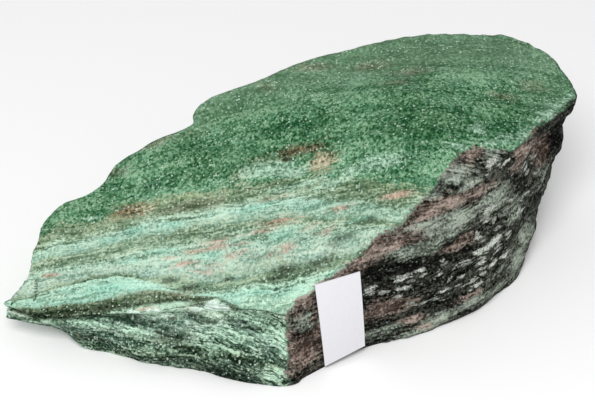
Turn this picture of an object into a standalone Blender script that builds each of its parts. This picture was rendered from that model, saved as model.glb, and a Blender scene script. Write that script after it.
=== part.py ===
"""Raw fuchsite: a hand-sized block of banded green mica schist with a blank paper slip stuck on its dark face.

The block lies on its flat underside, the worn mica face up, the thin tip to -X and the high shoulder to +X.
Every table is in millimetres, with the origin under the middle of the block and Z up.
"""

import bmesh
import bpy
import numpy as np

MM = 0.001

# Cells of the block along its length, depth and height.
CELLS = (54, 30, 16)
# Middle of the finished block's box; the last step moves it over the origin.
CENTRE = (-0.64, -0.6, 0)
# Share of the way each skin point moves to the middle of its neighbours, for the worn edges.
WEAR = 0.5
# How far the side faces swell at half height, as a share of the distance to the middle.
SWELL = 0.02
# Paper slip: thickness, cells across and down, how far its middle bows out.
SLIP_THICK = 0.4
SLIP_CELLS = (4, 8)
SLIP_BOW = 0.5
# Its corners on the dark face: top left, which leans back over the rim, top right, foot right, foot left.
SLIP_CORNERS = np.array([
    (4.9, -41.9, 28.5),
    (17.9, -38.1, 30.4),
    (19.9, -39.6, 3.1),
    (8.0, -46.8, 1.5),
])

# Each row: x, y, z on the rim of the top face, then x, y, z of the foot below it.
# Front: tip, fibrous end, near corner, then the dark break face up to the high end.
FRONT = np.array([
    (-87, -32, 12, -87, -33.5, 9),
    (-78, -36, 12, -79, -35.5, 8),
    (-69.5, -38.5, 13, -70, -35.5, 5),
    (-64, -39, 14, -65, -38.5, 1),
    (-58, -39.5, 15, -58, -39.5, 0),
    (-43, -41, 17.5, -45, -43, 0),
    (-28.5, -40.5, 20, -30, -47.5, 0),
    (-16.5, -43, 21, -18, -51.5, 0),
    (-9, -44.5, 21, -10, -53, 0),
    (-2.5, -46.5, 21, -2, -53.5, 0),
    (4, -42, 25.5, 8, -46.5, 0),
    (13.5, -38.5, 31, 18.5, -39, 0),
    (29.5, -31, 40, 31.5, -33.5, 0),
    (41, -24.5, 45.5, 43, -28.5, 0),
    (56.5, -12, 48.5, 55.5, -20.5, 0),
    (63, -5.5, 49.5, 63.5, -10.5, 0),
    (71, 3.5, 50.5, 68, -4, 0),
    (78, 12.5, 50.5, 70.5, 4, 0),
    (84.5, 20, 49.5, 72, 11, 0),
])
# Right: the rounded shoulder.
RIGHT = np.array([
    (84.5, 20, 49.5, 72, 11, 0),
    (85.5, 24, 49.5, 74.5, 18, 0),
    (85, 29, 50, 74.5, 25.5, 0),
    (82, 36.5, 50.5, 74, 34, 0),
    (79, 43, 51.5, 69, 40.5, 0),
    (73.5, 48, 52, 61.5, 44.5, 0),
])
# Back: from the low end, over two broken ledges, to the shoulder.
BACK = np.array([
    (-77, -9.5, 24, -66.5, -12.5, 1),
    (-73.5, -4, 26, -62.5, -5, 0),
    (-69.5, -1, 27.5, -61, -0.5, 0),
    (-64.5, 1, 28.5, -58, 2.5, 0),
    (-59, 4.5, 30.5, -55, 5, 0),
    (-56.5, 8.5, 32, -52.5, 9, 0),
    (-54.5, 12.5, 33, -49.5, 12.5, 0),
    (-51, 14.5, 34.5, -46, 14.5, 0),
    (-45, 16.5, 36.5, -41, 17.5, 0),
    (-37.5, 18.5, 39, -35.5, 20, 0),
    (-31.5, 20.5, 41, -32, 22, 0),
    (-31, 24.5, 42.5, -29, 25, 0),
    (-28.5, 28.5, 44, -26, 26.5, 0),
    (-23.5, 30, 46, -21.5, 29.5, 0),
    (-17.5, 31.5, 47.5, -17, 31.5, 0),
    (-11, 34, 48.5, -12, 33, 0),
    (-0.5, 39.5, 50, -3, 38, 0),
    (11, 43.5, 51, 7.5, 41.5, 0),
    (22.5, 46.5, 52, 18.5, 44.5, 0),
    (34, 49.5, 53, 30, 46.5, 0),
    (45.5, 51.5, 54, 40, 47, 0),
    (57, 52, 54.5, 49.5, 47, 0),
    (66, 52, 53.5, 56, 46.5, 0),
    (73.5, 48, 52, 61.5, 44.5, 0),
])
# Left: the low end, from the tip back.
LEFT = np.array([
    (-87, -32, 12, -87, -33.5, 9),
    (-83.5, -28, 14, -78.5, -30.5, 7.5),
    (-80.5, -23, 17, -72, -25.5, 5),
    (-79.5, -17.5, 20, -68.5, -19, 3),
    (-77, -9.5, 24, -66.5, -12.5, 1),
])
# Heights of the top face away from its rim: x, y, z.
INNER = np.array([
    (1, 12.5, 47.5),
    (31, 4.5, 53.5),
    (55, 14, 54),
    (-29, -9, 33.5),
    (1, -15, 38.5),
    (-14, -29, 27),
    (15.5, -25.5, 39.5),
    (-53.5, -17, 25),
    (35.5, -16.5, 50),
])
# Stiffness of the top face: larger lets it pass the given heights by more.
TOP_EASE = 50.0


def along(table, share):
    """Points at the given shares (0 to 1) of the rim length, on a Catmull-Rom curve through the rows."""
    steps = np.linalg.norm(np.diff(table[:, :3], axis=0), axis=1)
    length = np.concatenate([[0], np.cumsum(steps)])
    row = np.interp(share, length / length[-1], np.arange(len(table)))
    first = np.clip(row.astype(int), 0, len(table) - 2)
    t = (row - first)[:, None]
    ends = np.vstack([2 * table[0] - table[1], table, 2 * table[-1] - table[-2]])
    a, b, c, d = ends[first], ends[first + 1], ends[first + 2], ends[first + 3]
    cubic = (3 * b - a - 3 * c + d) * t**3
    return 0.5 * (2 * b + (c - a) * t + (2 * a - 5 * b + 4 * c - d) * t**2 + cubic)


def plate(points, near):
    """r^2 log r between every point and every known point, the basis of a bent thin plate."""
    gap = ((points[:, None] - near[None]) ** 2).sum(2)
    return gap * np.log(gap + 1e-9)


def top_height(points):
    """Height of the top face at plan points: a thin plate bent through the rim and the inner heights."""
    known = np.vstack([FRONT[:, :3], RIGHT[1:, :3], BACK[:-1, :3], LEFT[1:-1, :3], INNER])
    count = len(known)
    system = np.zeros((count + 3, count + 3))
    system[:count, :count] = plate(known[:, :2], known[:, :2]) + TOP_EASE * np.eye(count)
    system[:count, count] = 1
    system[:count, count + 1:] = known[:, :2]
    system[count:, :count] = system[:count, count:].T
    weight = np.linalg.solve(system, np.concatenate([known[:, 2], [0, 0, 0]]))
    bent = plate(points, known[:, :2]) @ weight[:count]
    return bent + weight[count] + points @ weight[count + 1:]


def ramp(x, low, high):
    """0 below low, 1 above high, eased between."""
    t = np.clip((x - low) / (high - low), 0, 1)
    return t * t * (3 - 2 * t)


def noise(points):
    """Smooth random value, -1 to 1, one fresh value at each whole step of the points."""
    base = np.floor(points)
    t = points - base
    t = t * t * (3 - 2 * t)
    total = 0
    for corner in np.ndindex(2, 2, 2):
        share = np.prod(np.where(corner, t, 1 - t), axis=1)
        wave = np.sin((base + corner) @ (127.1, 311.7, 74.7)) * 43758.5453
        total = total + share * (wave - np.floor(wave))
    return 2 * total - 1


def skin(block):
    """Points of the smooth stone for block points (u, v, w in 0 to 1).

    Rim and foot are Coons patches of the four tables in u and v; between them each
    point follows a parabola in w through foot, swollen middle and rim.
    """
    u, v, w = block[:, 0], block[:, 1], block[:, 2:]
    front, back, left, right = along(FRONT, u), along(BACK, u), along(LEFT, v), along(RIGHT, v)
    u, v = u[:, None], v[:, None]
    corners = (1 - v) * ((1 - u) * FRONT[0] + u * FRONT[-1]) + v * ((1 - u) * BACK[0] + u * BACK[-1])
    patch = (1 - v) * front + v * back + (1 - u) * left + u * right - corners
    rim, foot = patch[:, :3], patch[:, 3:]
    rim[:, 2] = top_height(rim[:, :2])
    foot[:, 2] = 8.5 * ramp(-foot[:, 0], 58, 72) * ramp(-foot[:, 0], 50, 84)
    middle = (rim + foot) / 2
    middle[:, :2] += SWELL * middle[:, :2] * ramp(rim[:, 2:] - foot[:, 2:], 5, 30)
    return foot * (1 - w) * (1 - 2 * w) + middle * 4 * w * (1 - w) + rim * w * (2 * w - 1)


def steps(value):
    """The value turned into level treads with steep risers, one to every whole step."""
    base = np.floor(value)
    return base + ramp(value - base, 0.32, 0.68)


def relief(points, normals, block):
    """How far the broken surface stands out of the smooth stone, in mm."""
    w = block[:, 2]
    x, y, z = points.T
    top = ramp(normals[:, 2], 0.3, 0.8)
    side = 1 - np.maximum(top, ramp(-normals[:, 2], 0.5, 0.9))
    # The left part of the front is cut across the layers: thin ribs under an overhanging ledge,
    # swollen low down and drawn in at the foot.
    ribbed = side * ramp(-y - 0.18 * x, 30, 34) * ramp(-x, -3, 2)
    ribs = 0.9 * noise(points / (26, 26, 2.6)) + 0.6 * steps(2 * noise(points / (15, 15, 6) + 7))
    ledge = -1.9 * np.exp(-(((w - 0.84) / 0.1) ** 2)) * ramp(-x, 0, 10)
    swollen = 2.8 * np.exp(-(((w - 0.26) / 0.17) ** 2)) * ramp(-x, 2, 16) * ramp(x, -58, -44)
    out = ribbed * (ribs + ledge + swollen)
    # The other sides broke in blocks, coarser round the back, with a lip under the high end.
    blocks = 0.9 * steps(2.2 * noise(points / (19, 19, 8) + 3)) + 0.5 * noise(points / (8, 8, 5) + 11)
    lip = -1.8 * np.exp(-(((w - 0.8) / 0.12) ** 2)) * ramp(x, 66, 76)
    rough = 0.65 + 0.35 * ramp(y + 0.2 * x, -4, 22)
    bare = 1 - ramp(x, 0, 6) * ramp(-x, -26, -20) * ramp(-y, 30, 34)
    out += (side - ribbed) * (blocks * rough + lip) * bare
    # The top is worn, with low lumps and the edges of a few peeled sheets.
    sheets = 0.6 * steps(2.4 * noise(points / (30, 17, 30) + 2))
    out += top * (sheets + 0.5 * noise(points / 14 + 5) + 0.25 * noise(points / 7 + 9))
    # A hollow where a rusty knot has weathered out, and a long shallow dip near the back rim.
    knot = np.exp(-(((x - 2) / 8) ** 2) - (((y + 4) / 3.5) ** 2))
    dip = np.exp(-(((x - 22) / 15) ** 2) - (((y - 33) / 4) ** 2))
    return out - top * (1.3 * knot + 1.0 * dip)


def block_mesh():
    """A block of CELLS cells as a bmesh, corners at 0 and 1."""
    mesh = bmesh.new()
    bmesh.ops.create_cube(mesh, size=1)
    bmesh.ops.translate(mesh, verts=mesh.verts, vec=(0.5, 0.5, 0.5))
    for axis, cells in enumerate(CELLS):
        across = [e for e in mesh.edges if abs(e.verts[0].co[axis] - e.verts[1].co[axis]) > 0.5]
        bmesh.ops.subdivide_edges(mesh, edges=across, cuts=cells - 1, use_grid_fill=True)
    return mesh


def place(mesh, points):
    """Moves the vertices to the points, given in mm."""
    for vertex, point in zip(mesh.verts, points * MM):
        vertex.co = point
    mesh.normal_update()


def finish(mesh, name, colour, roughness):
    """Turns the bmesh into a named object with its own material."""
    bmesh.ops.translate(mesh, verts=mesh.verts, vec=-np.array(CENTRE) * MM)
    data = bpy.data.meshes.new(name)
    mesh.to_mesh(data)
    mesh.free()
    part = bpy.data.objects.new(name, data)
    bpy.context.collection.objects.link(part)
    material = bpy.data.materials.new(name)
    material.use_nodes = True
    shader = material.node_tree.nodes["Principled BSDF"]
    shader.inputs["Base Color"].default_value = colour
    shader.inputs["Roughness"].default_value = roughness
    data.materials.append(material)
    return part


def build_stone():
    """The stone: a block drawn onto the skin, worn at its edges, roughened, and flat where it rests."""
    mesh = block_mesh()
    mesh.verts.ensure_lookup_table()
    block = np.array([v.co[:] for v in mesh.verts])
    place(mesh, skin(block))
    bmesh.ops.smooth_vert(
        mesh, verts=mesh.verts, factor=WEAR, use_axis_x=True, use_axis_y=True, use_axis_z=True
    )
    mesh.normal_update()
    points = np.array([v.co[:] for v in mesh.verts]) / MM
    normals = np.array([v.normal[:] for v in mesh.verts])
    points += normals * relief(points, normals, block)[:, None]
    points[:, 2] = np.maximum(points[:, 2], 0)
    place(mesh, points)
    resting = [f for f in mesh.faces if max(v.co.z for v in f.verts) < 1e-7]
    bmesh.ops.dissolve_faces(mesh, faces=resting, use_verts=True)
    bmesh.ops.triangulate(mesh, faces=mesh.faces, quad_method="SHORT_EDGE", ngon_method="EAR_CLIP")
    bmesh.ops.recalc_face_normals(mesh, faces=mesh.faces)
    return finish(mesh, "fuchsite_block", (0.08, 0.22, 0.13, 1), 0.55)


def build_slip():
    """The paper slip: a thin sheet between its four corners, bowed out a little at half height."""
    mesh = bmesh.new()
    bmesh.ops.create_cube(mesh, size=1)
    bmesh.ops.translate(mesh, verts=mesh.verts, vec=(0.5, 0.5, 0.5))
    for axis, cells in enumerate(SLIP_CELLS):
        across = [e for e in mesh.edges if abs(e.verts[0].co[axis] - e.verts[1].co[axis]) > 0.5]
        bmesh.ops.subdivide_edges(mesh, edges=across, cuts=cells - 1, use_grid_fill=True)
    mesh.verts.ensure_lookup_table()
    sheet = np.array([v.co[:] for v in mesh.verts])
    across, down, deep = sheet[:, :1], sheet[:, 1:2], sheet[:, 2:]
    top_left, top_right, foot_right, foot_left = SLIP_CORNERS
    head = top_left + across * (top_right - top_left)
    foot = foot_left + across * (foot_right - foot_left)
    out = np.cross(top_right - top_left, top_left - foot_left)
    out /= np.linalg.norm(out)
    bow = SLIP_BOW * 4 * down * (1 - down)
    place(mesh, head + down * (foot - head) + out * (bow + SLIP_THICK * deep))
    bmesh.ops.triangulate(mesh, faces=mesh.faces)
    bmesh.ops.recalc_face_normals(mesh, faces=mesh.faces)
    return finish(mesh, "paper_label", (0.85, 0.83, 0.8, 1), 0.7)


for old in list(bpy.data.objects):
    bpy.data.objects.remove(old)
build_stone()
build_slip()
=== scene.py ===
"""Raw fuchsite: a hand-sized block of banded green mica schist with a blank paper slip on its dark face.

The block lies on its flat underside. +X is the high rounded shoulder, -X the thin tip, -Y the broken
front. Tables are in millimetres along the same axes; the looks are built around the solids.
"""

import math

import bpy
import numpy as np
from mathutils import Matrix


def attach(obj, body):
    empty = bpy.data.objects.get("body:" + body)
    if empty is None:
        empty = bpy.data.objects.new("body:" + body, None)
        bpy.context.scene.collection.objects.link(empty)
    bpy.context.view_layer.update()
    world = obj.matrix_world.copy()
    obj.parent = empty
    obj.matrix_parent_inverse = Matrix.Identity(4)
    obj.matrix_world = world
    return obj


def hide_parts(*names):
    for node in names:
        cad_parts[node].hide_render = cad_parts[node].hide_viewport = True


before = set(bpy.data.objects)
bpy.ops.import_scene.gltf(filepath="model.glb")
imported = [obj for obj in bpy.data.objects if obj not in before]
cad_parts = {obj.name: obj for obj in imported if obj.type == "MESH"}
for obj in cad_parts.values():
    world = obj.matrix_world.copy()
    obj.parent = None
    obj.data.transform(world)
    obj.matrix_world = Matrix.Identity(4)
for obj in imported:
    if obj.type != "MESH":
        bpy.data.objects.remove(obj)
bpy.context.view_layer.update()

# The stone's shape
# One natural block. Its top is a worn mica sheet, its front left end is cut across the layers, and its
# front right side is a steep dark break face. Nothing is fixed to it but the slip.

# The stone and the slip are worked out in millimetres, and Blender takes metres.
MM = 0.001
# Middle of the finished block's box, moved over the origin.
CENTRE = np.array([-0.64, -0.6, 0])
# Cells along, across and up, about 0.8 mm each, so that ribs and cracks are real shape.
CELLS = (216, 124, 60)
# Rounds of evening-out that wear the edges down.
WEAR_ROUNDS = 9
# How far tall sides bow out halfway up, as a share of their distance from the middle.
SWELL = 0.02

# Each row: x, y, z on the rim of the top face, then x, y, z of the foot below it.
FRONT = np.array([
    (-87, -32, 12, -87, -33.5, 9),
    (-78, -36, 12, -79, -35.5, 8),
    (-69.5, -38.5, 13, -70, -35.5, 5),
    (-64, -39, 14, -65, -38.5, 1),
    (-58, -39.5, 15, -58, -39.5, 0),
    (-43, -41, 17.5, -45, -43, 0),
    (-28.5, -40.5, 20, -30, -47.5, 0),
    (-16.5, -43, 21, -18, -51.5, 0),
    (-9, -44.5, 21, -10, -53, 0),
    (-2.5, -46.5, 21, -2, -53.5, 0),
    (4, -42, 25.5, 8, -46.5, 0),
    (13.5, -38.5, 31, 18.5, -39, 0),
    (29.5, -31, 40, 31.5, -33.5, 0),
    (41, -24.5, 45.5, 43, -28.5, 0),
    (56.5, -12, 48.5, 55.5, -20.5, 0),
    (63, -5.5, 49.5, 63.5, -10.5, 0),
    (71, 3.5, 50.5, 68, -4, 0),
    (78, 12.5, 50.5, 70.5, 4, 0),
    (84.5, 20, 49.5, 72, 11, 0),
])
RIGHT = np.array([
    (84.5, 20, 49.5, 72, 11, 0),
    (85.5, 24, 49.5, 74.5, 18, 0),
    (85, 29, 50, 74.5, 25.5, 0),
    (82, 36.5, 50.5, 74, 34, 0),
    (79, 43, 51.5, 69, 40.5, 0),
    (73.5, 48, 52, 61.5, 44.5, 0),
])
BACK = np.array([
    (-77, -9.5, 24, -66.5, -12.5, 1),
    (-73.5, -4, 26, -62.5, -5, 0),
    (-69.5, -1, 27.5, -61, -0.5, 0),
    (-64.5, 1, 28.5, -58, 2.5, 0),
    (-59, 4.5, 30.5, -55, 5, 0),
    (-56.5, 8.5, 32, -52.5, 9, 0),
    (-54.5, 12.5, 33, -49.5, 12.5, 0),
    (-51, 14.5, 34.5, -46, 14.5, 0),
    (-45, 16.5, 36.5, -41, 17.5, 0),
    (-37.5, 18.5, 39, -35.5, 20, 0),
    (-31.5, 20.5, 41, -32, 22, 0),
    (-31, 24.5, 42.5, -29, 25, 0),
    (-28.5, 28.5, 44, -26, 26.5, 0),
    (-23.5, 30, 46, -21.5, 29.5, 0),
    (-17.5, 31.5, 47.5, -17, 31.5, 0),
    (-11, 34, 48.5, -12, 33, 0),
    (-0.5, 39.5, 50, -3, 38, 0),
    (11, 43.5, 51, 7.5, 41.5, 0),
    (22.5, 46.5, 52, 18.5, 44.5, 0),
    (34, 49.5, 53, 30, 46.5, 0),
    (45.5, 51.5, 54, 40, 47, 0),
    (57, 52, 54.5, 49.5, 47, 0),
    (66, 52, 53.5, 56, 46.5, 0),
    (73.5, 48, 52, 61.5, 44.5, 0),
])
LEFT = np.array([
    (-87, -32, 12, -87, -33.5, 9),
    (-83.5, -28, 14, -78.5, -30.5, 7.5),
    (-80.5, -23, 17, -72, -25.5, 5),
    (-79.5, -17.5, 20, -68.5, -19, 3),
    (-77, -9.5, 24, -66.5, -12.5, 1),
])
# Heights of the top face away from its rim: x, y, z.
INNER = np.array([
    (1, 12.5, 47.5),
    (31, 4.5, 53.5),
    (55, 14, 54),
    (-29, -9, 33.5),
    (1, -15, 38.5),
    (-14, -29, 27),
    (15.5, -25.5, 39.5),
    (-53.5, -17, 25),
    (35.5, -16.5, 50),
])
# How freely the top may pass by those heights: 0 would make it meet each one.
TOP_EASE = 50.0


def along(table, share):
    """Points at the given shares (0 to 1) of the rim length, on a Catmull-Rom curve through the rows."""
    gaps = np.linalg.norm(np.diff(table[:, :3], axis=0), axis=1)
    length = np.concatenate([[0], np.cumsum(gaps)])
    row = np.interp(share, length / length[-1], np.arange(len(table)))
    first = np.clip(row.astype(int), 0, len(table) - 2)
    t = (row - first)[:, None]
    ends = np.vstack([2 * table[0] - table[1], table, 2 * table[-1] - table[-2]])
    a, b, c, d = ends[first], ends[first + 1], ends[first + 2], ends[first + 3]
    cubic = (3 * b - a - 3 * c + d) * t**3
    return 0.5 * (2 * b + (c - a) * t + (2 * a - 5 * b + 4 * c - d) * t**2 + cubic)


def plate(points, near):
    """r^2 log r between every point and every known point, the basis of a bent thin plate."""
    gap = ((points[:, None] - near[None]) ** 2).sum(2)
    return gap * np.log(gap + 1e-9)


def top_height(points):
    """Height of the top face at plan points: a thin plate bent through the rim and the inner heights."""
    known = np.vstack([FRONT[:, :3], RIGHT[1:, :3], BACK[:-1, :3], LEFT[1:-1, :3], INNER])
    count = len(known)
    system = np.zeros((count + 3, count + 3))
    system[:count, :count] = plate(known[:, :2], known[:, :2]) + TOP_EASE * np.eye(count)
    system[:count, count] = 1
    system[:count, count + 1:] = known[:, :2]
    system[count:, :count] = system[:count, count:].T
    weight = np.linalg.solve(system, np.concatenate([known[:, 2], [0, 0, 0]]))
    bent = plate(points, known[:, :2]) @ weight[:count]
    return bent + weight[count] + points @ weight[count + 1:]


def ramp(x, low, high):
    """0 below low, 1 above high, eased between."""
    t = np.clip((x - low) / (high - low), 0, 1)
    return t * t * (3 - 2 * t)


def noise(points):
    """Smooth random value, -1 to 1, one fresh value at each whole step of the points."""
    base = np.floor(points)
    t = points - base
    t = t * t * (3 - 2 * t)
    total = 0
    for corner in np.ndindex(2, 2, 2):
        share = np.prod(np.where(corner, t, 1 - t), axis=1)
        wave = np.sin((base + corner) @ (127.1, 311.7, 74.7)) * 43758.5453
        total = total + share * (wave - np.floor(wave))
    return 2 * total - 1


def steps(value):
    """The value turned into level treads with steep risers, one to every whole step."""
    base = np.floor(value)
    return base + ramp(value - base, 0.32, 0.68)


def skin(block):
    """Points of the smooth stone for block points (u, v, w in 0 to 1), and the rim points above them.

    Rim and foot are Coons patches of the four tables in u and v; between them each
    point follows a parabola in w through foot, swollen middle and rim.
    """
    u, v, w = block[:, 0], block[:, 1], block[:, 2:]
    front, back, left, right = along(FRONT, u), along(BACK, u), along(LEFT, v), along(RIGHT, v)
    u, v = u[:, None], v[:, None]
    corners = (1 - v) * ((1 - u) * FRONT[0] + u * FRONT[-1]) + v * ((1 - u) * BACK[0] + u * BACK[-1])
    patch = (1 - v) * front + v * back + (1 - u) * left + u * right - corners
    rim, foot = patch[:, :3], patch[:, 3:]
    rim[:, 2] = top_height(rim[:, :2])
    # The foot is flat but for the thin tip, which stands clear of the ground.
    foot[:, 2] = 8.5 * ramp(-foot[:, 0], 58, 72) * ramp(-foot[:, 0], 50, 84)
    middle = (rim + foot) / 2
    middle[:, :2] += SWELL * middle[:, :2] * ramp(rim[:, 2:] - foot[:, 2:], 5, 30)
    return foot * (1 - w) * (1 - 2 * w) + middle * 4 * w * (1 - w) + rim * w * (2 * w - 1), rim


def relief(points, normals, block):
    """How far the broken surface stands out of the smooth stone, in mm."""
    w = block[:, 2]
    x, y, z = points.T
    top = ramp(normals[:, 2], 0.3, 0.8)
    side = 1 - np.maximum(top, ramp(-normals[:, 2], 0.5, 0.9))
    # The left part of the front is cut across the layers: thin ribs under an overhanging ledge,
    # swollen low down and drawn in at the foot.
    ribbed = side * ramp(-y - 0.18 * x, 30, 34) * ramp(-x, -3, 2)
    ribs = 0.9 * noise(points / (26, 26, 2.6)) + 0.6 * steps(2 * noise(points / (15, 15, 6) + 7))
    ledge = -1.9 * np.exp(-(((w - 0.84) / 0.1) ** 2)) * ramp(-x, 0, 10)
    swollen = 2.8 * np.exp(-(((w - 0.26) / 0.17) ** 2)) * ramp(-x, 2, 16) * ramp(x, -58, -44)
    out = ribbed * (ribs + ledge + swollen)
    # The other sides broke in blocks, coarser round the back, with a lip under the high end and an
    # even place behind the slip.
    blocks = 0.9 * steps(2.2 * noise(points / (19, 19, 8) + 3)) + 0.5 * noise(points / (8, 8, 5) + 11)
    lip = -1.8 * np.exp(-(((w - 0.8) / 0.12) ** 2)) * ramp(x, 66, 76)
    rough = 0.65 + 0.35 * ramp(y + 0.2 * x, -4, 22)
    bare = 1 - ramp(x, 0, 6) * ramp(-x, -26, -20) * ramp(-y, 30, 34)
    out += (side - ribbed) * (blocks * rough + lip) * bare
    # The top is worn, with low lumps and the edges of a few peeled sheets.
    sheets = 0.6 * steps(2.4 * noise(points / (30, 17, 30) + 2))
    out += top * (sheets + 0.5 * noise(points / 14 + 5) + 0.25 * noise(points / 7 + 9))
    # A hollow where a rusty knot has weathered out, and a long shallow dip near the back rim.
    knot = np.exp(-(((x - 2) / 8) ** 2) - (((y + 4) / 3.5) ** 2))
    dip = np.exp(-(((x - 22) / 15) ** 2) - (((y - 33) / 4) ** 2))
    return out - top * (1.3 * knot + 1.0 * dip)


def fine_relief(points, normals, across):
    """Cracks, thin ribs and grain too small for the solid, in mm: streaks that follow the layers."""
    top = ramp(normals[:, 2], 0.3, 0.8)
    side = 1 - np.maximum(top, ramp(-normals[:, 2], 0.5, 0.9))
    layered = np.column_stack([points[:, 0] / 9, points[:, 1] / 9, across / 1.7])
    streaks = noise(layered) + 0.6 * noise(layered * 1.9 + 4)
    cracks = -np.exp(-((noise(layered * (0.8, 0.8, 0.7) + 21) / 0.09) ** 2))
    grain = noise(points / 2.4 + 13) + 0.7 * noise(points / 1.3 + 17)
    pits = -ramp(noise(points / (6, 6, 3) + 41), 0.2, 0.7)
    broken = 0.32 * streaks + 0.15 * grain + 0.4 * cracks + 0.6 * pits
    return top * (0.1 * streaks + 0.07 * grain) + side * broken


def block_points(cells):
    """Points (u, v, w) on the skin of a block of cells, and its quads, all facing outwards."""
    u, v, w = np.indices(np.array(cells) + 1)
    on_skin = (u % cells[0] == 0) | (v % cells[1] == 0) | (w % cells[2] == 0)
    number = np.cumsum(on_skin).reshape(on_skin.shape) - 1
    points = np.column_stack([u[on_skin] / cells[0], v[on_skin] / cells[1], w[on_skin] / cells[2]])
    quads = []
    for sheet, turned in (
        (number[:, :, -1], False), (number[:, :, 0], True),
        (number[:, 0, :], False), (number[:, -1, :], True),
        (number[0, :, :], True), (number[-1, :, :], False),
    ):
        corners = [sheet[:-1, :-1], sheet[1:, :-1], sheet[1:, 1:], sheet[:-1, 1:]]
        quads.append(np.stack(corners[::-1] if turned else corners, axis=-1).reshape(-1, 4))
    return points, np.concatenate(quads)


def vertex_normals(points, quads):
    """Mean direction of the quads round each point, from their diagonals' cross product."""
    face = np.cross(points[quads[:, 2]] - points[quads[:, 0]], points[quads[:, 3]] - points[quads[:, 1]])
    total = np.zeros_like(points)
    for corner in range(4):
        np.add.at(total, quads[:, corner], face)
    return total / np.linalg.norm(total, axis=1, keepdims=True)


def worn(points, quads, rounds):
    """Each point moved halfway to the mean of its neighbours, the given number of times."""
    ends = np.concatenate([quads[:, [0, 1]], quads[:, [1, 2]], quads[:, [2, 3]], quads[:, [3, 0]]])
    count = np.bincount(ends[:, 0], minlength=len(points))[:, None]
    for _ in range(rounds):
        near = np.column_stack([
            np.bincount(ends[:, 0], points[ends[:, 1], axis], len(points)) for axis in range(3)
        ])
        points = 0.5 * points + 0.5 * near / count
    return points


def new_object(name, points, faces):
    """A mesh object in the scene, with its points in metres."""
    mesh = bpy.data.meshes.new(name)
    mesh.from_pydata(points, [], faces)
    mesh.update()
    made = bpy.data.objects.new(name, mesh)
    bpy.context.collection.objects.link(made)
    return made


block, quads = block_points(CELLS)
smooth, rim = skin(block)
smooth = worn(smooth, quads, WEAR_ROUNDS)
normals = vertex_normals(smooth, quads)

# The stone's layers and patches
# Green fuchsite mica on top, then olive and mint layers that crop out down the front slope; the front
# right face is a dark mica and hornblende skin with pale lenses. Where each lies is worked out here.

# Lines between the layers on the top face, as y at each x: from the green sheet down to the ledge.
LAYER_X = (-80, -72, -62, -54, -45, -38, -31, -24, -16, -1, 14, 29, 42)
LAYER_Y = np.array([
    (-14, -8.5, -9.5, -7, -4.5, -5, -6, -6, -6, -7.5, -12.5, -19, -21),
    (-18, -16, -15.4, -14.6, -12.8, -13, -13, -12.5, -12, -13.5, -19.5, -26, -24.8),
    (-20.5, -19.5, -19, -17.5, -16.5, -16.5, -15.5, -16, -17, -19, -24.5, -28.8, -25.2),
    (-23.5, -23, -23, -22.5, -22, -21.5, -21, -20, -20, -22, -27, -30, -25.6),
    (-30, -28.5, -27, -27, -29.5, -30.5, -33, -33, -33, -33.5, -34.5, -32, -26),
    (-31, -29.5, -28, -28, -31, -34.5, -37, -37.5, -37.5, -38.5, -37.5, -32.5, -26.4),
    (-34, -34.4, -35, -34.6, -33.5, -35, -37, -38.2, -43.5, -47, -39, -33, -26.8),
    (-36, -36.4, -37, -37, -37.6, -37.6, -38.2, -39, -44.5, -48, -39.5, -33.3, -27.2),
])
# How far the dark skin laps over the rim onto the top face, as mm at each x.
LAP_X = (-3, 4, 14, 18, 23, 30, 35, 41, 48, 52, 57, 63, 71, 78, 84)
LAP = (0.9, 0.2, 0.4, 1.5, 2.3, 1.1, 1.7, 5.3, 8, 8, 4.5, 0.5, 0, 0, 0.9)
# Patches, as x, y, half width and half depth in mm on the top face.
RUST = (
    (-2, 2.2, 7, 2.2), (4.5, 1.8, 6, 2.6), (7, -3.5, 5, 4.5), (-50, -7.8, 6, 2.8),
)
# The rusty knots are dark brown, with golden stretches between them.
GOLD = ((6.5, -4.5, 5, 4), (-47, -8.2, 4, 1.8))
SALMON = (
    (-73, -24.8, 4, 1), (-38, -24.8, 3, 0.9), (-36.4, -27.4, 2, 1.1), (-23, -21.3, 8, 1.5),
    (-16.5, -23.9, 4, 1.1), (-10.7, -21.6, 4, 1.2), (-25.2, -28.6, 3, 2), (-26.4, -31.5, 2.4, 1.2),
    (-12.2, -28.5, 3, 1.2), (-7.5, -28.6, 3, 1.1), (-2.8, -28, 4, 2), (7, -26.5, 5, 1.4),
    (-30, -24, 6, 1.2), (-45, -39.6, 5, 0.8), (-25, -23.5, 10, 1.6), (-33, -27, 6, 1.4),
    (-18, -26.5, 6, 1.4), (-5, -19.5, 8, 1.4), (2, -24, 6, 1.2), (-28, -30, 5, 1.8),
    (11, -21.5, 6, 1.2), (-9, -12.5, 7, 1), (29, -21.6, 5, 1.1),
)
AQUA = (
    (-49, -14.6, 5, 1.8), (-37.6, -14.6, 5, 1.6), (-56, -16.5, 4, 1.3), (-49.5, -24, 5, 1.6),
    (-26, -25.5, 6, 1.5), (-4, -24, 7, 2.2), (-41, -22.5, 7, 1.2), (-56, -31.5, 9, 2),
    (-12, -14, 8, 1.5), (-12, -39, 6, 1.2), (18, -26, 6, 1),
)
MINT = (
    (-8, -2.6, 9, 3), (23, -10.5, 11, 2.8), (28, -11.1, 4, 2), (16, -10.5, 5, 2), (-62, -8.2, 4, 0.8),
    (-1, -4.5, 6, 2.4), (10, -13, 6, 2), (0, -10, 12, 1.6), (53.5, 1.4, 3, 3), (48, -6.5, 5, 1.6),
    (65, -0.5, 6, 1.8), (76, 10, 4, 3), (59.5, 42.4, 4, 0.8), (-48, -39.6, 7, 1.4),
    (-39, -39.6, 7, 1.7), (-22.7, -40.5, 5, 1.7), (-12, -41.5, 8, 3.5), (-5, -43.5, 5, 3),
    (-72, -31.5, 8, 1.6),
)
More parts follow.
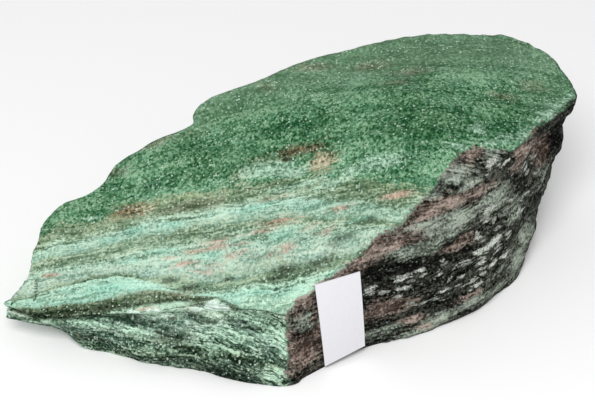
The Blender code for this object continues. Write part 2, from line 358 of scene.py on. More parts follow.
# Stretches of the sheet stained a faint brown.
BROWNED = (
    (23, 35.5, 7, 2.5), (36, 29.5, 8, 3), (31, 23, 6, 2), (62, 18, 5, 3), (-10, 29, 4, 3),
    (6, 37, 8, 2), (72, 25, 6, 4), (-32, -9.6, 14, 2.2), (-33, -36, 6, 1.2), (-45, 16.5, 12, 2.4),
    (-56, 8, 5, 3), (-10, 0.5, 6, 2.6), (-17, -3, 6, 2.4),
)
# Cracks in the top, as lines of x, y points: along the ledge and on towards the corner, across the tip,
# beside a rusty knot, and four short ones at the dark lap. The line along the ledge is partly a crack and
# partly painted shadow under the overhang.
CRACKS_AND_LEDGE_SHADOW = (
    (
        (-79, -35.6), (-70, -36.4), (-62, -36.8), (-54, -37),
        (-45, -37.6), (-38, -37.5), (-31, -38), (-25.7, -38.5),
    ),
    ((-22, -39.8), (-16.7, -42.8), (-10.5, -44.6)),
    ((-78.6, -22.6), (-77.6, -27.2), (-77.8, -32.1)),
    ((-4.5, 0.4), (-1.5, 0)),
    ((38, -23.2), (42, -18), (45.4, -16.4)),
    ((40.5, -22.2), (42.8, -18.8)),
    ((47, -20), (48.5, -17.5)),
    ((54, -15), (55.5, -12.5)),
)
# Darker and paler stretches of the top.
DEEP = (
    (-16.3, -2.8, 3.5, 1.6),
    (42, 3, 18, 9), (-30, 2, 20, 6), (12.5, 11.5, 8, 3), (-12, 28, 6, 3.5), (-18, 23, 5, 3),
    (-58, -6, 12, 4), (64, 14, 9, 6), (30, 1, 11, 6), (-8, 11.5, 9, 3), (20, 34.5, 7, 1.4),
    (-3.5, 1.5, 3, 1.6), (44, 17.5, 9, 2.5), (-57.5, -12.5, 5, 1.6), (-30, -9.8, 13, 1.8),
    (22, -23.4, 8, 2), (28, -25.6, 5, 1.6), (13, -29.5, 4.5, 3), (3, -37, 7, 2.2), (-5, -36, 8, 1.6),
    (-75, -25.5, 4, 1.4), (-34, -36.4, 6, 1.2), (-70, -20.8, 8, 1.4), (-38, -18.3, 16, 1.4),
)
PALE = (
    (19, 15.7, 8, 5), (18, 28.3, 11, 4), (2, 15.5, 5, 3.5), (6, -5, 4, 3), (-50, 5, 9, 5),
    (1, -4.5, 5, 3.5), (22, -11.5, 11, 3), (-5, -13, 14, 2.8), (-72, -31, 11, 3),
    (-52, -31.5, 12, 2.5), (55, 27, 9, 4), (-12, -41, 12, 4), (-38, -3.5, 12, 2), (-8, -3, 9, 3),
    (24, -10.5, 9, 2.6), (-42, -39.6, 10, 1.4), (-24, -40.5, 6, 2), (46, -14, 7, 5), (63, -3.5, 4, 2),
    (-38, 5, 7, 3), (13, -6, 5, 2.4), (44, -17, 5, 3),
)
# Dark knots in the mint layers.
KNOTS = (
    (13, -29.6, 5.5, 2.2), (20.5, -26.6, 4, 1.5), (6, -34.2, 6, 2.2), (-3, -34, 6, 1.6),
    (-6, -35.8, 6, 0.8), (-31, -34.6, 5, 1.1), (-37.5, -31.6, 3.5, 1.2), (-20, -33.6, 3, 1),
)
# Patches on the dark face, as x, z, half width and half height.
BROWN = (
    (51.5, 49.7, 5, 1.3), (38, 42.7, 6, 3.2), (44, 43.3, 8, 2.8), (53.5, 41.8, 6, 3.4),
    (28, 35.6, 9, 3.6), (46.5, 28.4, 7, 2.4), (26, 13.5, 8, 3.5), (34.5, 6.4, 5, 1.8), (50, 8, 6, 1.8),
    (66.5, 45.5, 4.5, 5.5), (77, 38, 4, 6), (20, 33, 5, 2), (0.5, 19.5, 3, 2.5), (2, 9, 6, 6),
    (6, 15, 4, 9), (38, 2.5, 4, 1.5),
)
BLACK = (
    (59, 48, 3.5, 1.5), (61.4, 46.2, 3, 2), (68.5, 34.5, 4, 3.5), (59, 28.5, 4.5, 3.5),
    (30, 27, 8, 2.6), (40, 9.8, 7, 1.6), (84, 42, 4, 9),
)
GREY = (
    (44, 48.4, 9, 1.2), (38, 47.4, 6, 1.4), (50, 46.8, 5, 1.6), (34, 31.4, 8, 3), (47.5, 36.8, 10, 3.8),
    (59.7, 35.5, 5, 5), (56, 39, 6, 3.4), (42, 32.6, 7, 2.4), (67, 27.5, 4, 4.5), (43.5, 4.5, 7, 2),
    (53, 6, 6, 2), (67.5, 7, 3.5, 5), (71.5, 13, 3, 6), (24.4, 4.8, 7, 2), (33.8, 33.4, 8, 1.2),
    (1.5, 18.6, 4, 2.2), (4.4, 15.6, 3.4, 1.5), (76, 28, 3, 6), (60, 49, 5, 0.7), (38, 39.6, 9, 1.3),
    (34, 1.6, 8, 1.3), (60, 3.5, 5, 2.2), (60, 10, 4, 1.4),
)
# Darker and paler stretches of the dark face.
FACE_DEEP = (
    (26.5, 13.5, 9, 4.5), (37, 13.5, 6, 3), (3, 11, 6, 6), (30, 27.5, 10, 3), (83, 40, 5, 10),
    (77, 36, 3, 4), (40, 31.6, 8, 1.8), (23, 17, 4, 4),
)
FACE_PALE = (
    (49, 35.6, 8, 3), (59.7, 35, 5, 5), (53, 5, 8, 3), (42, 3, 8, 2.4), (66.5, 27.6, 4, 4),
    (3, 17.4, 5, 3), (60, 21, 7, 5), (24, 35, 9, 3.5), (36, 41, 12, 5), (52, 44, 11, 5),
    (71, 34, 4, 8), (69, 12, 5, 9), (66, 47, 5, 4),
)
# Where its small pale lenses lie closest.
LENSES = (
    (56, 20, 13, 8), (33, 20, 14, 5), (40, 14, 14, 3.5), (72, 40, 8, 8), (59, 47.5, 4, 3),
    (60, 30, 8, 5),
)
# The largest pale lenses on it.
SPOTS = (
    (31.3, 23.4, 4.5, 1), (30.8, 19.7, 2.6, 1.1), (38.8, 12, 3.2, 1), (49.2, 20.9, 3.3, 1.6),
    (54.9, 22.6, 2.6, 1.3), (55.4, 17.1, 1.6, 0.9), (59.5, 23.2, 2.8, 1.6), (60, 14.2, 2.2, 0.9),
    (36.4, 23.6, 2.2, 0.8), (53.7, 28.2, 1.2, 1.3), (78, 27, 1.2, 1.8), (43.5, 14.5, 1.6, 0.7),
    (58, 34.5, 3, 1.6), (61.5, 46.9, 2, 0.8), (68, 26, 2, 1.2), (60.8, 17.3, 2, 0.8),
    (52.2, 12.8, 2.6, 0.6), (54.1, 10.9, 2, 0.6), (63.6, 13, 1.8, 0.8), (21.7, 21.6, 2.5, 1.4),
    (41.8, 11, 2.2, 0.5), (57.3, 48.3, 2, 0.4), (45.5, 17.5, 2, 0.6), (49, 16.5, 2, 0.6),
    (64, 20, 1.6, 0.8),
)
# Patches on the cut front, in the same way: pale lenses and dark micaceous stretches. The low dark ones
# along the foot are partly painted shade under the swollen foot.
FRONT_PALE = (
    (-50, 16.2, 5, 1.1), (-42, 17, 6, 1.3), (-37, 17.8, 3, 1), (-23, 19.6, 6, 1.5),
    (-18, 12.6, 11, 2.8), (-6, 15, 7, 4), (-12, 18.6, 9, 2.6), (-4, 11.5, 3.5, 3), (-7, 3, 5, 1.8),
    (-62, 10.6, 12, 1), (-48, 10.4, 8, 1), (-24, 9, 6, 1.2),
)
FRONT_DARK = (
    (-15, 6.8, 10, 1.1), (-23, 1.6, 9, 1.8), (-36, 3.6, 14, 2.4), (-37, 10.6, 7, 3.4),
    (-50, 12.4, 8, 0.9), (-62, 4.5, 9, 1.6), (-30.5, 16.2, 4.5, 1.8), (-72, 11.6, 8, 0.8),
    (-31, 7, 5, 1),
)
# Clean white lenses of quartz under the ledge.
QUARTZ = (
    (-24.6, 19.6, 2.8, 1.5), (-21.6, 19.6, 2.2, 1.3), (-29.8, 18, 1.6, 0.9), (-41, 17.4, 3.5, 0.7),
    (-48, 16.6, 2.5, 0.6),
)
# Cracks across the front, as lines of x, z points: the foot of the ledge, two that fall towards the
# corner, and one on the dark face beside it. The one at the foot of the ledge is partly a crack and
# partly painted shadow under the overhang.
FRONT_CRACKS_AND_LEDGE_SHADOW = (
    (
        (-78, 12), (-66, 13.6), (-55, 14.4), (-45, 13),
        (-38, 14.3), (-34, 16.2), (-29, 15.2), (-23.6, 15.6),
    ),
    ((-19, 20.3), (-13.7, 19.8), (-6.5, 18)),
    ((-21, 17), (-14, 17), (-7, 15.6)),
    ((6.5, 18.5), (5.4, 14.6), (2.6, 11.5), (1.2, 9.5)),
)
# Half widths of the cracks on the top and the front, and how deep they are.
CRACK_WIDE = 0.8
FRONT_CRACK_WIDE = 0.9
CRACK_DEEP = 0.6
# How much lower the stone lies behind the slip.
SLIP_BED_DEEP = 0.4


def patches(table, x, y):
    """0 to 1: the strongest of the table's elliptic bell-shaped patches at each point."""
    total = np.zeros(len(x))
    for middle_x, middle_y, wide, high in table:
        away = ((x - middle_x) / wide) ** 2 + ((y - middle_y) / high) ** 2
        total = np.maximum(total, np.exp(-away))
    return total


def top_layer(x, y):
    """Number of the layer at plan points: below 0 in the green sheet, then one more past each line."""
    lines = np.array([np.interp(x, LAYER_X, row) for row in LAYER_Y])
    number = np.where(y > lines[0], (lines[0] - y) / 5, 0)
    for upper, lower in zip(lines[:-1], lines[1:]):
        number += np.clip((upper - y) / np.maximum(upper - lower, 0.1), 0, 1)
    return number


def line_bell(line, x, y, wide):
    """1 on the line of x, y points, falling off as a bell to 0.37 at the given distance from it."""
    nearest = np.full(len(x), 1e9)
    place = np.column_stack([x, y])
    for start, end in zip(np.array(line[:-1]), np.array(line[1:])):
        share = np.clip((place - start) @ (end - start) / ((end - start) ** 2).sum(), 0, 1)[:, None]
        nearest = np.minimum(nearest, ((place - start - share * (end - start)) ** 2).sum(1))
    return np.exp(-nearest / wide**2)


x, y, z = smooth.T
u, v, w = block.T
depth = np.maximum(rim[:, 2] - z, 0)
on_top = w == 1
on_front = (v == 0) & ~on_top
on_end = (u == 1) & ~on_top
on_back = ((v == 1) | (u == 0)) & ~on_top
on_foot = (w == 0) & ~on_front & ~on_back & ~on_end
cut = on_front * ramp(-x, 0, 4)

layer = top_layer(x, y)
# Below the ledge the layers are counted by depth; the first millimetre passes through layer 7.3, a
# painted shadow line under the ledge. Towards the corner the layers bend down and the ledge dies out.
bend = np.interp(x, (-30, -22, -2.5), (0, 0.8, 6))
below = depth - bend
ledge = ramp(-x, 16, 24)
under = np.where(below < 0, 6.3, 7.2 + np.minimum(below, 1)) * ledge + 8.8 * (1 - ledge)
layer = np.where(on_front, under + np.maximum(below, 0) / 2.4, layer)
outcrop = np.maximum(top_layer(rim[:, 0], rim[:, 1]), -1)
layer = np.where(on_back | on_end, outcrop + depth / 4.2, layer)
layer = np.where(on_foot, 11 + 2.5 * noise(smooth / (30, 12, 12)), layer)
# How far across the layers a point lies, which the thin streaks follow.
across = 1.2 * (z + bend * on_front) + 3 * noise(smooth / (30, 30, 18) + 31)
across = np.where(on_top, 2.5 * layer - 0.9 * y, across)

# How deep a point lies in the dark skin, dark above 0. The skin starts at the near corner, laps over the
# rim, wraps round the end and reaches some way under the foot; the back has none.
ridge = np.interp(x, FRONT[9:, 0], FRONT[9:, 1])
lap = np.interp(x, LAP_X, LAP)
inward = np.maximum(y - ridge, 0) * 0.8
dark = np.where(on_top, lap - inward, depth + lap)
dark = np.minimum(dark, x + 2.8) + 0.9 * noise(smooth / 4 + 50)
dark = np.where(on_end, np.minimum(depth + 1, (36 - y) * 0.5 + 5 * noise(smooth / 11 + 3)), dark)
dark = np.where(on_back, -9, dark)
dark = np.where(on_foot, np.minimum(dark, 3 - np.abs(y + 46) * 0.1), dark)

# Patches of the skin by height, where what laps over the rim counts as a little above it. The skin is
# also brown under the lower part of the rim.
up = np.where(on_top, np.minimum(z, 48) + 0.2 * (y - ridge), z)
brown = np.maximum(patches(BROWN, x, up), 0.6 * ramp(-depth, -10, -3) * ramp(-x, -54, -42))
grey = patches(GREY, x, up)
brown -= patches(BLACK, x, up) + 0.6 * grey
lenses = 0.62 * patches(LENSES, x, up)
spots = np.where(x > -3, patches(SPOTS, x, up), patches(QUARTZ, x, z) * (y < -38))
# Patches of the green layers. A pale fringe runs along the dark lap on the right.
rust, salmon, mint = [patches(table, x, y) * on_top for table in (RUST, SALMON, MINT)]
fringe = 0.62 * np.exp(-(((inward - lap - 2) / 2.2) ** 2)) * ramp(x, 46, 56) * on_top
mint = np.maximum(np.maximum(mint, fringe), patches(FRONT_PALE, x, z) * cut)
# Dark stretches and painted shade low on the cut front, and dark knots on the top.
painted_shade_and_dark_patches = patches(FRONT_DARK, x, z) * cut + patches(KNOTS, x, y) * on_top
browned = patches(BROWNED, x, y) * on_top
deep = (patches(DEEP, x, y) - patches(PALE, x, y)) * on_top
deep += (1.8 * patches(FACE_DEEP, x, z) - 1.4 * patches(FACE_PALE, x, z)) * (1 - on_top) * (x > -4)
deep -= 1.5 * patches(FRONT_PALE, x, z) * cut
aqua, gold = patches(AQUA, x, y) * on_top, patches(GOLD, x, y) * on_top
# Dark crack lines; along the ledge they are partly painted shadow under the overhang.
crack_and_ledge_shadow = np.max([line_bell(line, x, y, CRACK_WIDE) for line in CRACKS_AND_LEDGE_SHADOW], axis=0) * on_top
front_crack_and_ledge_shadow = np.max([line_bell(line, x, z, FRONT_CRACK_WIDE) for line in FRONT_CRACKS_AND_LEDGE_SHADOW], axis=0)
crack_and_ledge_shadow += front_crack_and_ledge_shadow * on_front
# Painted sheen: the mica is painted greyer and paler towards the back rim, and a little so at the right
# end, where the light glances off it.
painted_sheen = on_top * np.maximum(ramp(y - 0.12 * x, 12, 34), 0.5 * ramp(x - 0.2 * y, 62, 74))
# 0 where the mica lies flat and shows grain, 1 where layers crop out on top, 1.6 where they are cut
# across, and 0.6 on the dark skin.
streaky = np.where(on_top, ramp(layer, -0.6, 0.6), 1.6)
streaky = np.where(dark > 0, 0.6, streaky)

points = smooth + normals * relief(smooth, normals, block)[:, None]
normals = vertex_normals(points, quads)
# Where the slip is stuck the stone is smoother and lies a little lower, clear of the paper.
slip_bed = on_front * ramp(x, 0, 4) * ramp(-x, -25, -20)
finer = fine_relief(points, normals, across) * (1 - slip_bed)
finer -= SLIP_BED_DEEP * slip_bed + CRACK_DEEP * crack_and_ledge_shadow
points += normals * finer[:, None]
points[:, 2] = np.maximum(points[:, 2], 0)

stone = new_object("fuchsite_stone", (points - CENTRE) * MM, quads)
stone.data.polygons.foreach_set("use_smooth", np.ones(len(quads), bool))
# The material reads these, three to each attribute of the mesh.
FIELDS = {
    "layers": {"layer": layer, "across": across, "dark": dark},
    "top_stains": {"rust": rust, "salmon": salmon, "mint": mint},
    "face_stains": {"brown": brown, "grey": grey, "lenses": lenses},
    "cover": {"streaky": streaky, "painted_sheen": painted_sheen, "browned": browned},
    "shadow": {"painted_shade_and_dark_patches": painted_shade_and_dark_patches, "deep": deep, "crack_and_ledge_shadow": crack_and_ledge_shadow},
    "tints": {"aqua": aqua, "gold": gold, "spots": spots},
}
for name, parts in FIELDS.items():
    attribute = stone.data.attributes.new(name, "FLOAT_VECTOR", "POINT")
    values = np.column_stack(list(parts.values())).astype(np.float32)
    attribute.data.foreach_set("vector", values.ravel())

# The stone's finish
# Fuchsite schist, raw and unpolished: packed mica flakes about 0.6 mm wide that glitter, in streaks of
# green, olive, mint feldspar and quartz. Flakes and streaks are drawn at their real size.

# Layer number, darkest grains, middle, lightest grains.
LAYER_AND_PAINTED_SHADE_COLOURS = (
    (-1.0, "#1a4524", "#55835f", "#97c3a2"),
    (-0.15, "#204a2a", "#5c8a68", "#9cc8a7"),
    (0.2, "#46573b", "#74886a", "#a9bd9b"),
    (0.85, "#4f6347", "#7d9378", "#b1caae"),
    (1.15, "#6f8f78", "#adcfbc", "#cff5e2"),
    (1.85, "#7a967d", "#b1cfbb", "#cfefdb"),
    (2.15, "#566b51", "#92aa8f", "#cbe2c9"),
    (2.85, "#586d53", "#95ad92", "#cde4cb"),
    (3.15, "#76907c", "#b6d4c0", "#d3f3e0"),
    (3.85, "#7b927d", "#bbd1c0", "#d4f0de"),
    (4.15, "#44593f", "#7f997e", "#b9d2b8"),
    (4.85, "#3c5040", "#769076", "#b4ceb5"),
    (5.15, "#759579", "#b3dcc8", "#d0fbe8"),
    (5.85, "#7a987e", "#b0d8c4", "#cef9e6"),
    (6.15, "#22301d", "#66775e", "#a6baa0"),
    (6.9, "#17230f", "#55654c", "#9bac93"),
    # A painted shadow: the black line just under the overhanging ledge.
    (7.3, "#020602", "#172213", "#4e5e48"),
    (8.2, "#203021", "#6d816b", "#c4dcca"),
    (8.9, "#2b3f2b", "#798f78", "#cde5d5"),
    (9.7, "#2b4030", "#789080", "#cde6d8"),
    (11.5, "#1e3222", "#6a8371", "#c2dbcb"),
    (13.5, "#132313", "#657d67", "#bad4bd"),
    # These last rows lie low on the cut front; their darkness is partly painted shade under its swollen
    # foot.
    (15.2, "#0e1d12", "#52675a", "#a8c0aa"),
    (17.0, "#060f08", "#2e3f31", "#708472"),
)
FIRST, LAST = LAYER_AND_PAINTED_SHADE_COLOURS[0][0], LAYER_AND_PAINTED_SHADE_COLOURS[-1][0]


def srgb(code):
    """A #rrggbb colour as linear red, green, blue, alpha."""
    share = [int(code[place:place + 2], 16) / 255 for place in (1, 3, 5)]
    return [c / 12.92 if c <= 0.04045 else ((c + 0.055) / 1.055) ** 2.4 for c in share] + [1]


def new_material(name):
    """A material with nodes, its node tree and its main shader."""
    made = bpy.data.materials.new(name)
    made.use_nodes = True
    return made, made.node_tree, made.node_tree.nodes["Principled BSDF"]


def add(tree, kind, inputs=(), **settings):
    """A new node with its settings; each input gets a link from a socket, or a plain value."""
    made = tree.nodes.new(kind)
    for name, value in settings.items():
        setattr(made, name, value)
    for place, value in dict(inputs).items():
        if isinstance(value, bpy.types.NodeSocket):
            tree.links.new(value, made.inputs[place])
        else:
            made.inputs[place].default_value = value
    return made


def texture(tree, place, scale, detail, roughness=0.5):
    """Smooth random value about 0.5, with as many lumps to one unit of place as the scale says."""
    inputs = {"Vector": place, "Scale": scale, "Detail": detail, "Roughness": roughness}
    return add(tree, "ShaderNodeTexNoise", inputs).outputs[0]


def maths(tree, operation, *values):
    """Outcome of the operation on its one to three numbers."""
    return add(tree, "ShaderNodeMath", enumerate(values), operation=operation).outputs[0]


def vector_maths(tree, operation, *vectors):
    """Outcome of the operation on its one or two vectors."""
    return add(tree, "ShaderNodeVectorMath", enumerate(vectors), operation=operation).outputs[0]


def remap(tree, value, low, high, first=0.0, last=1.0):
    """The first number up to the low value, the last from the high value on, a straight line between."""
    inputs = {"Value": value, "From Min": low, "From Max": high, "To Min": first, "To Max": last}
    return add(tree, "ShaderNodeMapRange", inputs).outputs[0]


def blend(tree, share, first, second, blend_type="MIX"):
    """The first colour at share 0 and the second at share 1."""
    # A mix node takes colours at its inputs 6 and 7, and gives one at its output 2.
    inputs = {0: share, 6: first, 7: second}
    return add(tree, "ShaderNodeMix", inputs, data_type="RGBA", blend_type=blend_type).outputs[2]


def varied(tree, start, variations):
    """The start plus every variation, counted from its middle of 0.5 and times its part."""
    total = start
    for value, part in variations:
        about = maths(tree, "SUBTRACT", value, 0.5)
        total = maths(tree, "MULTIPLY_ADD", about, part, total)
    return total


def stained(tree, colour, tone, stains):
    """The colour with each stain mixed over it where its field is past its threshold.

    A stain is its field, the noise that moves its edge and how far, the threshold, the width of the
    edge, the most that it covers, and its darkest and lightest grains.
    """
    for value, moves, ragged, start, soft, most, dark_code, light_code in stains:
        moved = maths(tree, "MULTIPLY_ADD", moves, ragged, value)
        cover = remap(tree, moved, start, start + soft, 0.0, most)
        # Far from the patch the field is near 0, and there the noise alone makes no stain.
        near = remap(tree, value, 0.04, 0.22)
        cover = maths(tree, "MULTIPLY", cover, near)
        stain = blend(tree, tone, srgb(dark_code), srgb(light_code))
        colour = blend(tree, cover, colour, stain)
    return colour


schist, tree, shader = new_material("raw_fuchsite_schist")
place = add(tree, "ShaderNodeTexCoord").outputs["Object"]
mm = vector_maths(tree, "MULTIPLY", place, (1 / MM, 1 / MM, 1 / MM))
field = {}
for name, parts in FIELDS.items():
    vector = add(tree, "ShaderNodeAttribute", attribute_name=name).outputs["Vector"]
    field.update(zip(parts, add(tree, "ShaderNodeSeparateXYZ", {0: vector}).outputs))

# Clouds some 25 mm wide, clumps of 8 mm, grains 1 mm wide and single mica flakes 0.65 mm wide.
cloud = texture(tree, mm, 0.04, 1)
clump = texture(tree, mm, 0.13, 3, 0.6)
grain = texture(tree, mm, 1.0, 3, 0.8)
flake = add(tree, "ShaderNodeTexVoronoi", {"Vector": mm, "Scale": 1.55})
# Three random numbers of each flake.
flake_numbers = add(tree, "ShaderNodeSeparateColor", {0: flake.outputs["Color"]})
flake_pick, flake_shade, flake_dull = flake_numbers.outputs

# Streaks follow the layers, which wave a little. They are 8 mm long and 0.8 mm thick, and the wide ones
# three times that.
waved = maths(tree, "MULTIPLY_ADD", clump, 5.0, field["across"])
level = maths(tree, "MULTIPLY", waved, 1.2)
level = add(tree, "ShaderNodeCombineXYZ", {2: level}).outputs[0]
stretched = vector_maths(tree, "MULTIPLY", mm, (0.12, 0.12, 0))
streak_place = vector_maths(tree, "ADD", stretched, level)
streak = texture(tree, streak_place, 1.0, 5, 0.7)
wide = texture(tree, streak_place, 0.33, 2, 0.6)

# Shade of each grain, 0 dark to 1 light. The more streaky a place is, the more its streaks count, and
# the less its flakes and grains do.
streak_part = remap(tree, field["streaky"], 0.0, 2.0, 0.7, 4.0)
flake_part = remap(tree, field["streaky"], 0.0, 2.0, 0.75, 0.6)
grain_part = remap(tree, field["streaky"], 0.0, 1.0, 1.8, 1.5)
shade = varied(tree, 0.5, (
    (streak, streak_part),
    (flake_shade, flake_part),
    (grain, grain_part),
    (clump, 0.9),
    (wide, 0.8),
    (cloud, 0.8),
))
# Painted shade low on the cut front, dark stretches, dark knots and deep stretches are darker, and pale
# ones lighter.
for name in ("painted_shade_and_dark_patches", "deep"):
    shade = maths(tree, "MULTIPLY_ADD", field[name], -0.22, shade)
shade = add(tree, "ShaderNodeClamp", {0: shade}).outputs[0]
# Share of the lightest colour in each grain of a stain, and of the dark skin, where most are dark.
tone = maths(tree, "POWER", shade, 1.6)
dim = maths(tree, "POWER", tone, 1.6)

# Two mixtures that move the edges of layers and patches. The second breaks them up more.
wander = varied(tree, 0.0, ((wide, 0.9), (streak, 1.4), (clump, 0.9), (grain, 1.3)))
mottle = varied(tree, 0.0, ((streak, 2.4), (clump, 1.4), (grain, 1.4)))

# The colours of the layers, with a painted shadow line under the ledge and painted shade low on the cut
# front: one ramp for the darkest grains, one for the middle, one for the lightest.
number = maths(tree, "MULTIPLY_ADD", wander, 0.9, field["layer"])
number = remap(tree, number, FIRST, LAST)
grains = []
for column in (1, 2, 3):
    colours = add(tree, "ShaderNodeValToRGB", {0: number})
    marks = colours.color_ramp.elements
    while len(marks) < len(LAYER_AND_PAINTED_SHADE_COLOURS):
        marks.new(0.5)
    for mark, row in zip(marks, LAYER_AND_PAINTED_SHADE_COLOURS):
        mark.position = (row[0] - FIRST) / (LAST - FIRST)
        mark.color = srgb(row[column])
    grains.append(colours.outputs[0])
darkest, ordinary, lightest = grains
green = blend(tree, remap(tree, shade, 0.0, 0.5), darkest, ordinary)
green = blend(tree, remap(tree, shade, 0.5, 1.0), green, lightest)
# Some streaks are a bluer green and some more olive.
tint = blend(tree, remap(tree, wander, -0.3, 0.3), (0.9, 1.03, 1.04, 1), (1.05, 0.99, 0.93, 1))
green = blend(tree, 1.0, green, tint, "MULTIPLY")
green = stained(tree, green, tone, (
    # Painted sheen towards the back rim.
    (field["painted_sheen"], wander, 0.3, 0.0, 1.0, 0.85, "#567658", "#8db292"),
    (field["browned"], mottle, 1.0, 0.25, 1.0, 0.6, "#453f31", "#a09c84"),
    (field["mint"], wander, 1.0, 0.32, 0.55, 0.85, "#5f836a", "#d1f5da"),
    (field["salmon"], mottle, 1.3, 0.45, 0.8, 0.8, "#9a7060", "#e2c2b0"),
    (field["aqua"], wander, 1.0, 0.35, 0.6, 0.55, "#5fa58c", "#b8f2de"),
    (field["spots"], mottle, 0.3, 0.33, 0.15, 0.95, "#b6d0bf", "#ecfff4"),
    (field["rust"], mottle, 1.0, 0.35, 0.6, 0.85, "#2b1d12", "#a08a6a"),
    (field["gold"], mottle, 1.0, 0.4, 0.6, 0.85, "#5a4c2c", "#f2ebc8"),
    # Painted shade low on the cut front, with its dark stretches and the dark knots.
    (field["painted_shade_and_dark_patches"], mottle, 0.9, 0.5, 0.5, 0.7, "#070f08", "#4a5c4a"),
    # Cracks, with the painted shadow line along the ledge.
    (field["crack_and_ledge_shadow"], mottle, 1.3, 0.75, 0.3, 0.8, "#040904", "#26331f"),
))
# Where the layers are cut across, thin black partings run along them.
parting = maths(tree, "SUBTRACT", wide, 0.5)
parting = maths(tree, "ABSOLUTE", parting)
parting = remap(tree, parting, 0.02, 0.005)
opened = remap(tree, field["streaky"], 1.2, 1.5, 0.0, 0.8)
parting = maths(tree, "MULTIPLY", parting, opened)
green = blend(tree, parting, green, srgb("#060b06"))

# The dark skin: black hornblende and biotite with pale lenses some 4 mm long and 1 mm thick.
lens_place = vector_maths(tree, "MULTIPLY", streak_place, (1.9, 1.9, 0.6))
lens = add(tree, "ShaderNodeTexVoronoi", {"Vector": lens_place, "Scale": 1.0})
lens_size = add(tree, "ShaderNodeSeparateColor", {0: lens.outputs["Color"]}).outputs[0]
lens_size = maths(tree, "ADD", lens_size, field["lenses"])
lens_size = remap(tree, lens_size, 0.7, 1.5, 0.0, 0.75)
lens_edge = maths(tree, "SUBTRACT", lens_size, lens.outputs["Distance"])
face = blend(tree, dim, srgb("#020201"), srgb("#5b5e54"))
face = stained(tree, face, tone, (
    (field["grey"], wander, 0.9, 0.25, 0.7, 0.88, "#3e473c", "#c0ccbc"),
    (field["brown"], mottle, 0.7, 0.2, 0.75, 0.92, "#42372f", "#bba89c"),
    (lens_edge, mottle, 0.25, 0.04, 0.12, 0.85, "#666c62", "#d2d8ce"),
    (field["spots"], mottle, 0.8, 0.45, 0.25, 0.95, "#7a8077", "#e4eae0"),
    (field["crack_and_ledge_shadow"], mottle, 1.3, 0.75, 0.3, 0.8, "#040404", "#211f1b"),
))
edge = maths(tree, "MULTIPLY_ADD", wander, 2.6, field["dark"])
colour = blend(tree, remap(tree, edge, -0.3, 0.4), green, face)

# Painted glints: one mica flake in six, as if it lay flat to the light, gets a pale speck painted into
# its colour, some brighter than others. On the dark skin they are fewer.
few = remap(tree, field["dark"], -0.5, 0.5, 0.0, 0.1)
pick = maths(tree, "SUBTRACT", flake_pick, few)
bright = remap(tree, pick, 0.84, 0.98)
middle = remap(tree, flake.outputs["Distance"], 0.62, 0.3)
painted_glint = maths(tree, "MULTIPLY", bright, middle)
painted_glint = maths(tree, "MULTIPLY", painted_glint, 0.8)
colour = blend(tree, painted_glint, colour, srgb("#d2ecd6"))
tree.links.new(colour, shader.inputs["Base Color"])

# Every flake is tilted its own way, so the sheet glitters.
tilt = vector_maths(tree, "SUBTRACT", flake.outputs["Color"], (0.5, 0.5, 0.5))
tilt = vector_maths(tree, "MULTIPLY", tilt, (0.7, 0.7, 0.7))
height = maths(tree, "ADD", streak, grain)
bump = add(tree, "ShaderNodeBump", {"Height": height, "Strength": 0.9, "Distance": 0.0005}).outputs[0]
facing = vector_maths(tree, "ADD", bump, tilt)
facing = vector_maths(tree, "NORMALIZE", facing)
tree.links.new(facing, shader.inputs["Normal"])
tree.links.new(remap(tree, flake_dull, 0.0, 1.0, 0.4, 0.8), shader.inputs["Roughness"])
shader.inputs["Specular IOR Level"].default_value = 0.03

stone.data.materials.append(schist)
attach(stone, "root")
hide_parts("fuchsite_block")

# The paper slip
# A slip of plain white writing paper, 14 by 28 mm, cut by hand and stuck by its back on the dark face. It
# is stiff enough to bow out a little, and its top corner stands off the rounded edge.

# Thickness of the paper and how far its middle bows out.
SLIP_THICK = 0.4
SLIP_BOW = 0.5
# Cells across, down and through it, about 1 mm each.
SLIP_CELLS = (14, 28, 1)
# Top left, top right, foot right and foot left corner of its back.
SLIP_CORNERS = np.array([
    (4.9, -41.9, 28.5),
    (17.9, -38.1, 30.4),
    (19.9, -39.6, 3.1),
    (8.0, -46.8, 1.5),
])


def slip_sheet(across, down, deep):
    """Bilinear between the four corners, plus 4 d (1 - d) times the bow along the sheet's normal."""
    top_left, top_right, foot_right, foot_left = SLIP_CORNERS
    head = top_left + across * (top_right - top_left)
    foot = foot_left + across * (foot_right - foot_left)
    out = np.cross(top_right - top_left, top_left - foot_left)
    out /= np.linalg.norm(out)
    return head + down * (foot - head) + out * (SLIP_BOW * 4 * down * (1 - down) + SLIP_THICK * deep)


slip_block, slip_quads = block_points(SLIP_CELLS)
slip_points = slip_sheet(slip_block[:, :1], slip_block[:, 1:2], slip_block[:, 2:])
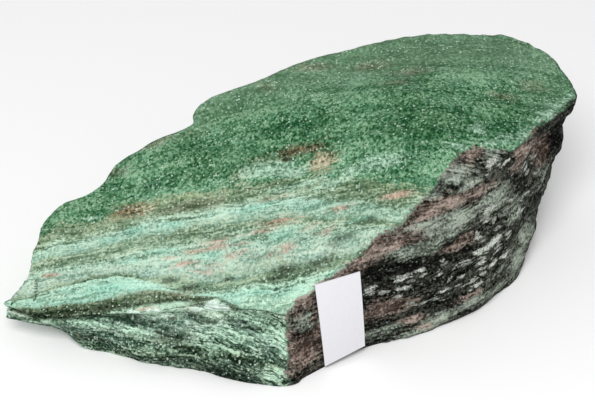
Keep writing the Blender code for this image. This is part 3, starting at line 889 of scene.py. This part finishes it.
# Across, down and out make a left-handed set, so the quads are turned round to face outwards.
slip = new_object("paper_slip", (slip_points - CENTRE) * MM, slip_quads[:, ::-1])

paper, tree, shader = new_material("white_writing_paper")
place = add(tree, "ShaderNodeTexCoord").outputs["Object"]
# Paper fibres are far under a pixel, so they are drawn 1 mm long to show at all.
fibre = texture(tree, place, 900, 5, 0.7)
tree.links.new(blend(tree, fibre, srgb("#d6d5da"), srgb("#e2e1e6")), shader.inputs["Base Color"])
bump = add(tree, "ShaderNodeBump", {"Height": fibre, "Strength": 0.3, "Distance": 0.0001}).outputs[0]
tree.links.new(bump, shader.inputs["Normal"])
shader.inputs["Roughness"].default_value = 0.75
slip.data.materials.append(paper)
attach(slip, "root")
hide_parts("paper_label")

# Floor, light and camera
# A plain white floor 6 m square under an even white sky, with one large soft lamp above the front, and
# the camera 0.58 m off, 38 degrees above the stone.

floor = new_object("floor", [(-3, -3, 0), (3, -3, 0), (3, 3, 0), (-3, 3, 0)], [(0, 1, 2, 3)])
white, tree, shader = new_material("white_floor")
shader.inputs["Base Color"].default_value = srgb("#fcfcfc")
shader.inputs["Roughness"].default_value = 0.9
floor.data.materials.append(white)

sky = bpy.data.worlds.new("white_sky")
bpy.context.scene.world = sky
sky.use_nodes = True
background = sky.node_tree.nodes["Background"]
background.inputs["Color"].default_value = (1, 1, 1, 1)
background.inputs["Strength"].default_value = 0.55

lamp_data = bpy.data.lights.new("soft_lamp", "AREA")
lamp_data.shape = "DISK"
lamp_data.size = 0.5
lamp_data.energy = 6.5
lamp = bpy.data.objects.new("soft_lamp", lamp_data)
lamp.location = (-0.1, -0.6, 0.8)
lamp.rotation_euler = (math.radians(36.5), math.radians(-5.5), 0)
bpy.context.collection.objects.link(lamp)

camera_data = bpy.data.cameras.new("camera")
camera_data.sensor_width = 36
camera_data.lens = 113.7
camera = bpy.data.objects.new("camera", camera_data)
camera.location = (0.00064, -0.4529, 0.3775)
camera.rotation_euler = (math.radians(52), 0, 0)
bpy.context.collection.objects.link(camera)
bpy.context.scene.camera = camera
bpy.context.scene.view_settings.view_transform = "Standard"
